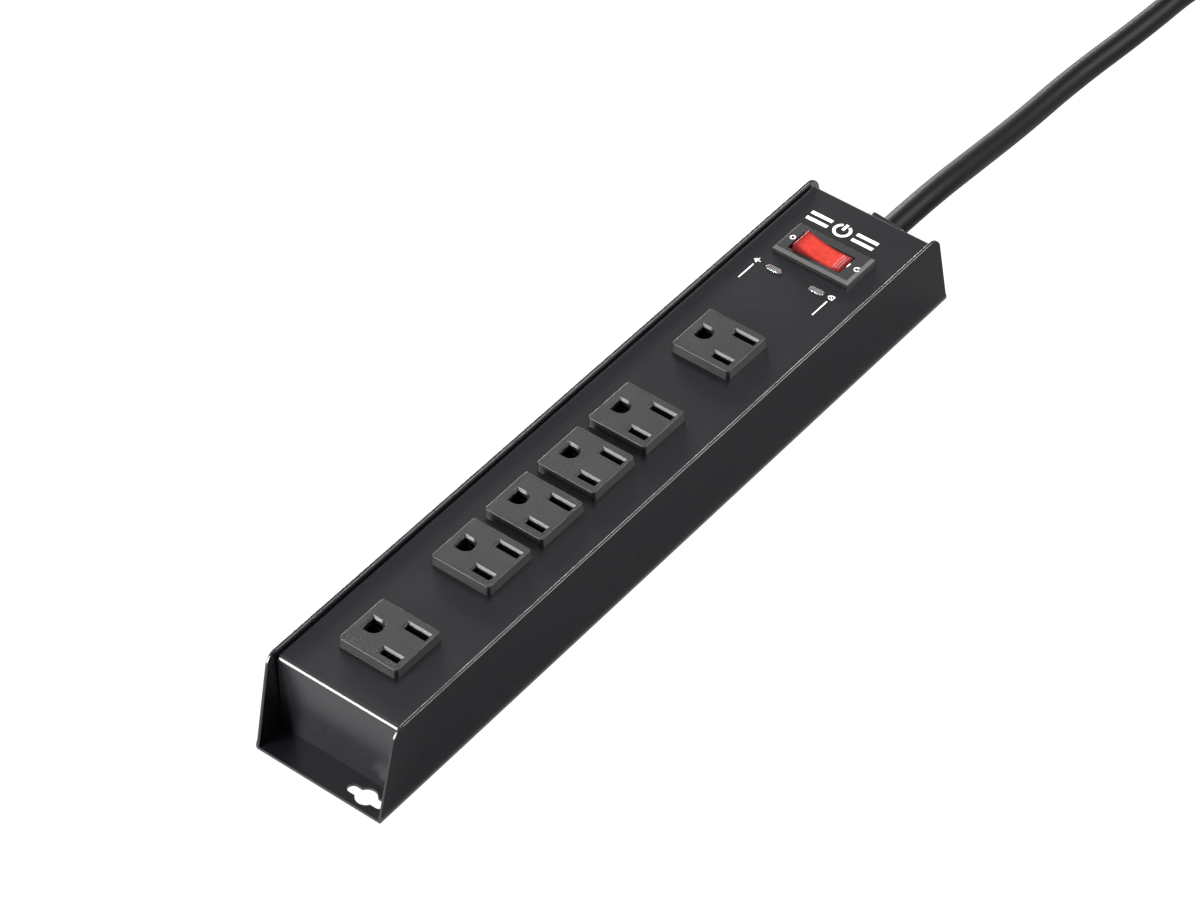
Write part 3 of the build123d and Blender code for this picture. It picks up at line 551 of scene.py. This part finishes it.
class POWERSTRIP_OT_cord(bpy.types.Operator):
    """Lays the cord from the strain relief to its tied hank and plug"""

    bl_idname = "power_strip.cord"
    bl_label = "Power cord and plug"

    def execute(self, context):
        sizes, _, _ = values()
        line = [tuple(c * MM for c in point) for point in CORD_ROUTE[:-1]]
        line += hank_points(sizes)
        line += [tuple(c * MM for c in point) for point in TAIL_ROUTE]
        curve = bpy.data.curves.new("power_cord", "CURVE")
        curve.dimensions = "3D"
        spline = curve.splines.new("NURBS")
        spline.points.add(len(line) - 1)
        for point, place in zip(spline.points, line):
            point.co = (*place, 1)
        spline.order_u = 3
        spline.use_endpoint_u = True
        spline.resolution_u = 10
        curve.bevel_depth = sizes.cord_diameter / 2
        curve.bevel_resolution = 9
        curve.use_fill_caps = True
        cord = bpy.data.objects.new("power_cord", curve)
        bpy.context.collection.objects.link(cord)
        vinyl = jacket()
        finish_piece(cord, "housing", vinyl, "cord_jacket", "cord_tube", "cord_hank", "cord_tail")
        dress(vinyl, "plug_body", "cord_inner_end")
        # Woven nylon hook-and-loop tape: dull, with a coarse nap.
        tape = grainy("hook_and_loop_tape", linear("#2b2b2d"), 0.5, 0.9, 0.15, 0.85)
        plug_nodes = ("plug_body", "plug_hot_blade", "plug_neutral_blade", "plug_ground_pin")
        on = [NODES[name] for name in plug_nodes]
        on.append(plug_grips(vinyl))
        on += [hank_tie(*tie, tape) for tie in TIES]
        return {"FINISHED"}


# ----------------------------------------------------------------------- printed marks
def disc(x, y, radius, count=40):
    """A round outline."""
    return [(x + radius * cos(tau * i / count), y + radius * sin(tau * i / count)) for i in range(count)]


def ring(x, y, radius, stroke):
    """A closed ring, as its outer and inner outlines."""
    return [disc(x, y, radius + stroke / 2), disc(x, y, radius - stroke / 2)]


def arc(x, y, radius, stroke, start, end, count=28):
    """An open ring from one angle to another, in degrees."""
    turn = [radians(start + (end - start) * i / count) for i in range(count + 1)]
    outer, inner = radius + stroke / 2, radius - stroke / 2
    outside = [(x + outer * cos(a), y + outer * sin(a)) for a in turn]
    inside = [(x + inner * cos(a), y + inner * sin(a)) for a in reversed(turn)]
    return [outside + inside]


def bar(x0, y0, x1, y1, stroke):
    """A straight stroke between two points."""
    along = Vector((x1 - x0, y1 - y0)).normalized() * stroke / 2
    side = Vector((-along.y, along.x))
    ends = ((x0, y0, -1), (x1, y1, 1))
    (ax, ay), (bx, by) = [(x + sign * along.x, y + sign * along.y) for x, y, sign in ends]
    return [[
        (ax + side.x, ay + side.y), (ax - side.x, ay - side.y),
        (bx - side.x, by - side.y), (bx + side.x, by + side.y),
    ]]


# The marks' own axes: u runs from the ground-hole side to the other, v away from the free end.
POWER_MARK = (
    arc(0, 0, 2.9, 1.1, 118, 422) + bar(0, 0.8, 0, 3.0, 1.1)
    + bar(-13.2, 1.6, -5.9, 1.6, 1.5) + bar(-13.2, -1.6, -5.9, -1.6, 1.5)
    + bar(5.9, 1.6, 13.2, 1.6, 1.5) + bar(5.9, -1.6, 13.2, -1.6, 1.5)
)
OFF_MARK = ring(0, 0, 0.85, 0.36)
RESET_MARK = (
    arc(1.7, 0, 0.95, 0.34, 60, 350) + [[(1.5, 1.45), (1.5, 0.35), (2.5, 0.9)]]
    + bar(-1.8, -0.85, -1.8, 0.85, 0.36)
)
EARTH_MARK = (
    bar(0, 0.1, 0, 1.1, 0.3) + bar(-1.1, 0.0, 1.1, 0.0, 0.3) + bar(-0.65, -0.55, 0.65, -0.55, 0.3)
    + bar(-0.2, -1.1, 0.2, -1.1, 0.3) + bar(2.6, 0, 10.6, 0, 0.45)
)
SHIELD_MARK = (
    [[(-1.1, 1.1), (1.1, 1.1), (1.1, -0.1), (0.6, -0.9), (0, -1.3), (-0.6, -0.9), (-1.1, -0.1)],
     [(-0.78, 0.8), (0.78, 0.8), (0.78, -0.05), (0.42, -0.65), (0, -0.92), (-0.42, -0.65), (-0.78, -0.05)]]
    + [[(-0.5, 0.1), (-0.1, -0.35), (0.55, 0.5), (0.38, 0.62), (-0.1, 0.0), (-0.32, 0.25)]]
    + bar(2.6, 0, 10.6, 0, 0.45)
)


def print_mark(name, outlines, x, y, z, turn, ink):
    """Prints filled outlines, in millimetres, as a film of ink on a level face."""
    sizes, _, _ = values()
    curve = bpy.data.curves.new(name, "CURVE")
    curve.dimensions = "2D"
    curve.fill_mode = "BOTH"
    curve.extrude = sizes.ink_height / 2
    for outline in outlines:
        spline = curve.splines.new("POLY")
        spline.points.add(len(outline) - 1)
        for point, (u, v) in zip(spline.points, outline):
            point.co = (u * MM, v * MM, 0, 1)
        spline.use_cyclic_u = True
    mark = bpy.data.objects.new(name, curve)
    bpy.context.collection.objects.link(mark)
    mark.location = (x * MM, y * MM, z + sizes.ink_height / 2)
    mark.rotation_euler.z = radians(turn)
    make_active(mark)
    bpy.ops.object.convert(target="MESH")
    mark = bpy.context.object
    settle(mark)
    return finish_piece(mark, "housing", ink, "liner_card")


class POWERSTRIP_OT_marks(bpy.types.Operator):
    """Prints the plain pictograms on the cover and on the switch frame"""

    bl_idname = "power_strip.marks"
    bl_label = "Printed marks"

    def execute(self, context):
        _, colours, _ = values()
        # Pad-printed epoxy ink: opaque white, matt, with slightly uneven cover.
        ink = grainy("pad_printed_white_ink", colours.ink_white, 0.86, 0.5, 0.004, 0.55)
        cover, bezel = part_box("top_cover")[1].z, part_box("switch_case")[1].z
        for name, outlines, x, y, face, turn in (
            ("power_mark", POWER_MARK, 127.9, 3.0, cover, -90),
            ("off_mark", OFF_MARK, 112.6, 12.75, bezel, -90),
            ("reset_mark", RESET_MARK, 112.6, -12.4, bezel, -90),
            ("earth_mark", EARTH_MARK, 98.0, 16.8, cover, 180),
            ("shield_mark", SHIELD_MARK, 98.0, -14.0, cover, 180),
        ):
            print_mark(name, outlines, x, y, face, turn, ink)
        return {"FINISHED"}


# -------------------------------------------------------------------------- the studio
FLOOR_SIZE = 12.0                   # metres
FLOOR_GLOW = 0.93
CARD_SIZE = (3.0, 1.0, 1.0)         # metres
CARD_PLACE = (0.1, -0.5264, 0.0003)
SURROUND_STRENGTH = 0.42
SENSOR_WIDTH = 36                   # millimetres, as cameras state it
SOFTBOXES = (
    # name, place in metres, width and height in metres, watts
    ("overhead_softbox", (0.15, 0.35, 1.9), 1.2, 1.2, 10.0),
    ("left_softbox", (-1.55, 0.8, 0.42), 0.5, 0.7, 68.0),
    ("slot_strip", (-1.2, 0.75, 0.96), 0.5, 0.25, 20.0),
    ("right_strip", (0.95, -0.95, 0.95), 1.1, 0.4, 46.0),
    ("far_strip", (1.1, 1.6, 0.42), 1.2, 0.3, 60.0),
)


class POWERSTRIP_OT_studio(bpy.types.Operator):
    """Sets up the floor, the soft studio light and the camera"""

    bl_idname = "power_strip.studio"
    bl_label = "Studio"

    def execute(self, context):
        _, _, shot = values()
        scene = context.scene
        scene.view_settings.view_transform = "Standard"
        deselect_all()
        bpy.ops.mesh.primitive_plane_add(size=FLOOR_SIZE)
        floor = context.object
        floor.name = "floor"
        # Opal acrylic lit from below: an even white that takes hardly any shadow.
        floor.data.materials.append(
            grainy("backlit_opal_acrylic", linear("#5c5c5c"), 0.99, 2.0, 0.002, 0.9,
                   {"Specular IOR Level": 0.05, "Emission Color": linear("#ffffff"),
                    "Emission Strength": FLOOR_GLOW})
        )
        # A grey card beside the strip, seen only in reflections, keeps its long wall dark.
        bpy.ops.mesh.primitive_plane_add(size=1, location=CARD_PLACE)
        card = context.object
        card.name = "grey_card"
        card.scale = CARD_SIZE
        bpy.ops.object.transform_apply(location=False, rotation=False, scale=True)
        card.data.materials.append(
            grainy("grey_card", linear("#606060"), 0.95, 3.0, 0.002, 0.9, {"Specular IOR Level": 0.0})
        )
        card.visible_camera = card.visible_diffuse = card.visible_shadow = False
        world = bpy.data.worlds.new("studio_surround")
        scene.world = world
        world.use_nodes = True
        surround = world.node_tree.nodes["Background"].inputs
        surround["Color"].default_value = (1, 1, 1, 1)
        surround["Strength"].default_value = SURROUND_STRENGTH
        for name, place, width, height, watts in SOFTBOXES:
            light = bpy.data.objects.new(name, bpy.data.lights.new(name, "AREA"))
            light.data.shape = "RECTANGLE"
            light.data.size, light.data.size_y = width, height
            light.data.energy = watts
            light.location = place
            light.rotation_euler = (-Vector(place)).to_track_quat("-Z", "Y").to_euler()
            scene.collection.objects.link(light)
        back = Vector((
            sin(shot.azimuth) * cos(shot.elevation),
            -cos(shot.azimuth) * cos(shot.elevation),
            sin(shot.elevation),
        ))
        camera = bpy.data.objects.new("camera", bpy.data.cameras.new("camera"))
        camera.data.lens = shot.lens
        camera.data.sensor_width = SENSOR_WIDTH
        camera.data.clip_start = 0.05
        camera.location = Vector(shot.target) + back * shot.distance
        facing = (-back).to_track_quat("-Z", "Y") @ Quaternion((0, 0, 1), shot.roll)
        camera.rotation_euler = facing.to_euler()
        scene.collection.objects.link(camera)
        scene.camera = camera
        return {"FINISHED"}


# ------------------------------------------------------------------- panel and register
OPERATORS = (
    POWERSTRIP_OT_shell, POWERSTRIP_OT_outlets, POWERSTRIP_OT_switch, POWERSTRIP_OT_inside,
    POWERSTRIP_OT_cord, POWERSTRIP_OT_marks, POWERSTRIP_OT_studio,
)
PROPERTIES = {
    "power_strip_sizes": PowerStripSizes,
    "power_strip_colours": PowerStripColours,
    "power_strip_view": PowerStripView,
}


class POWERSTRIP_PT_panel(bpy.types.Panel):
    """Lists the power strip's operators"""

    bl_idname = "POWERSTRIP_PT_panel"
    bl_label = "Power strip"
    bl_space_type = "VIEW_3D"
    bl_region_type = "UI"
    bl_category = "Power strip"

    def draw(self, context):
        for operator in OPERATORS:
            self.layout.operator(operator.bl_idname)


CLASSES = (*PROPERTIES.values(), *OPERATORS, POWERSTRIP_PT_panel)


def register():
    for cls in CLASSES:
        bpy.utils.register_class(cls)
    for name, group in PROPERTIES.items():
        setattr(bpy.types.Scene, name, PointerProperty(type=group))


def unregister():
    for name in PROPERTIES:
        delattr(bpy.types.Scene, name)
    for cls in reversed(CLASSES):
        bpy.utils.unregister_class(cls)


def main():
    register()
    bpy.ops.power_strip.shell()
    bpy.ops.power_strip.outlets()
    bpy.ops.power_strip.switch()
    bpy.ops.power_strip.inside()
    bpy.ops.power_strip.cord()
    bpy.ops.power_strip.marks()
    bpy.ops.power_strip.studio()


if __name__ == "__main__":
    main()
